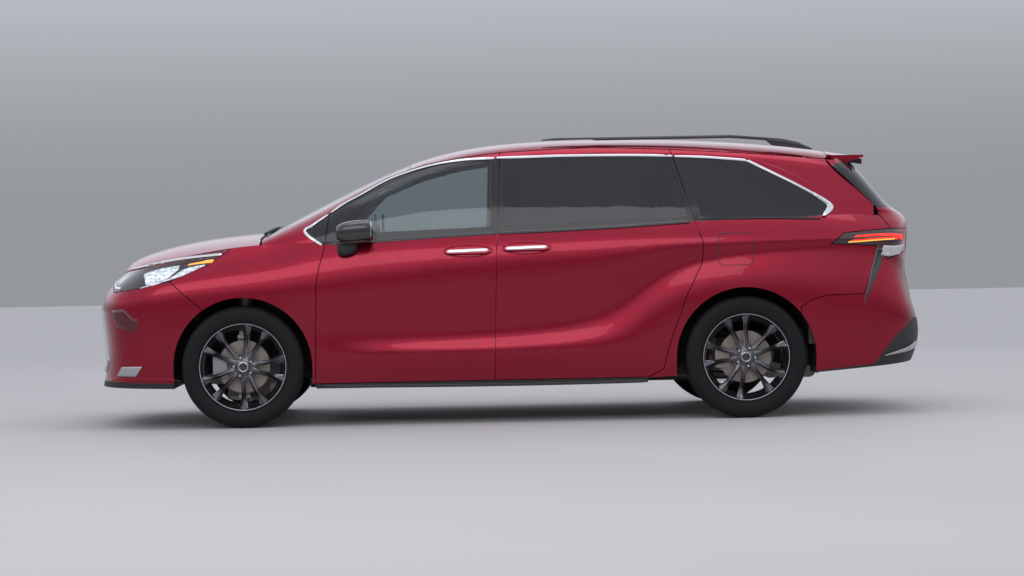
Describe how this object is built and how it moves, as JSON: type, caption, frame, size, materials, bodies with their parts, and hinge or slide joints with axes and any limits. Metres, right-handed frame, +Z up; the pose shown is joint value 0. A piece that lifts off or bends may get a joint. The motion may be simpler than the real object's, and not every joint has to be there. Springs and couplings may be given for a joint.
{
  "type": "minivan",
  "caption": "Family minivan with sliding side doors, hinged front doors, bonnet and tailgate, and steered front wheels.",
  "frame": {"origin": "on the ground, under the middle of the overall length and width", "axes": "+X to the rear, +Y to the vehicle's right, +Z up; the front faces -X"},
  "size_m": [5.1402, 2.23, 1.7389],
  "materials": {
    "paint": "deep ruby metallic under clear coat",
    "black_plastic": "grained black",
    "gloss_black": "gloss black",
    "clear_glass": "clear, slightly green",
    "dark_glass": "dark privacy tint",
    "lamp": "clear lens over bright reflectors",
    "red_lamp": "red lens",
    "structure": "dark sealed steel",
    "steel": "plain steel",
    "cast": "cast",
    "upholstery": "black soft trim",
    "tyre": "black rubber",
    "alloy": "dark paint with machined edges"
  },
  "bodies": {
    "root": {"body_floor": "structure", "dashboard": "black_plastic", "exhaust": "steel", "front_bumper": "paint", "front_fender_left": "paint", "front_fender_right": "paint", "front_frame": "structure", "front_splitter": "black_plastic", "front_suspension": "steel", "grille": "gloss_black", "headlamps": "lamp", "powertrain": "cast", "quarter_panel_left": "paint", "quarter_panel_right": "paint", "rear_bumper": "paint", "rear_frame": "structure", "rear_side_glass": "dark_glass", "rear_suspension": "steel", "rear_valance": "black_plastic", "rocker_mouldings": "black_plastic", "roof_panel": "paint", "roof_rails": "gloss_black", "seats": "upholstery", "side_frame_left": "paint", "side_frame_right": "paint", "sliding_door_left": "paint", "sliding_door_right": "paint", "tail_lamps": "red_lamp", "wheel_liners": "black_plastic", "windshield": "clear_glass", "steering_wheel": "black_plastic"},
    "front_door_left": {"front_door_left": "paint", "front_door_glass_left": "clear_glass", "mirror_left": "black_plastic"},
    "front_door_right": {"front_door_right": "paint", "front_door_glass_right": "clear_glass", "mirror_right": "black_plastic"},
    "hood": {"hood": "paint"},
    "tailgate": {"tailgate": "paint", "tailgate_glass": "dark_glass"},
    "steer_left": {"knuckle_left": "steel"},
    "steer_right": {"knuckle_right": "steel"},
    "wheel_front_left": {"tyre_front_left": "tyre", "rim_front_left": "alloy"},
    "wheel_front_right": {"tyre_front_right": "tyre", "rim_front_right": "alloy"},
    "wheel_rear_left": {"tyre_rear_left": "tyre", "rim_rear_left": "alloy"},
    "wheel_rear_right": {"tyre_rear_right": "tyre", "rim_rear_right": "alloy"}
  },
  "joints": [
    {"name": "front_door_left_hinge", "type": "hinge", "parent": "root", "child": "front_door_left", "pos_m": [-1.125, -0.986, 0.6], "axis": [0, 0, -1], "range_deg": [0, 68]},
    {"name": "front_door_right_hinge", "type": "hinge", "parent": "root", "child": "front_door_right", "pos_m": [-1.125, 0.986, 0.6], "axis": [0, 0, 1], "range_deg": [0, 68]},
    {"name": "hood_hinge", "type": "hinge", "parent": "root", "child": "hood", "pos_m": [-1.523, 0, 1.192], "axis": [0, 1, 0], "range_deg": [0, 48]},
    {"name": "tailgate_hinge", "type": "hinge", "parent": "root", "child": "tailgate", "pos_m": [2.01, 0, 1.64], "axis": [0, -1, 0], "range_deg": [0, 78]},
    {"name": "steer_left", "type": "hinge", "parent": "root", "child": "steer_left", "pos_m": [-1.632, -0.838, 0.3715], "axis": [0, 0, 1], "range_deg": [-33, 33]},
    {"name": "steer_right", "type": "hinge", "parent": "root", "child": "steer_right", "pos_m": [-1.632, 0.838, 0.3715], "axis": [0, 0, 1], "range_deg": [-33, 33]},
    {"name": "spin_front_left", "type": "hinge", "parent": "steer_left", "child": "wheel_front_left", "pos_m": [-1.632, -0.858, 0.3715], "axis": [0, 1, 0], "continuous": true},
    {"name": "spin_front_right", "type": "hinge", "parent": "steer_right", "child": "wheel_front_right", "pos_m": [-1.632, 0.858, 0.3715], "axis": [0, 1, 0], "continuous": true},
    {"name": "spin_rear_left", "type": "hinge", "parent": "root", "child": "wheel_rear_left", "pos_m": [1.428, -0.858, 0.3715], "axis": [0, 1, 0], "continuous": true},
    {"name": "spin_rear_right", "type": "hinge", "parent": "root", "child": "wheel_rear_right", "pos_m": [1.428, 0.858, 0.3715], "axis": [0, 1, 0], "continuous": true}
  ],
  "couplings": [
    {"joint": "steer_right", "follows": "steer_left", "ratio": 1}
  ]
}
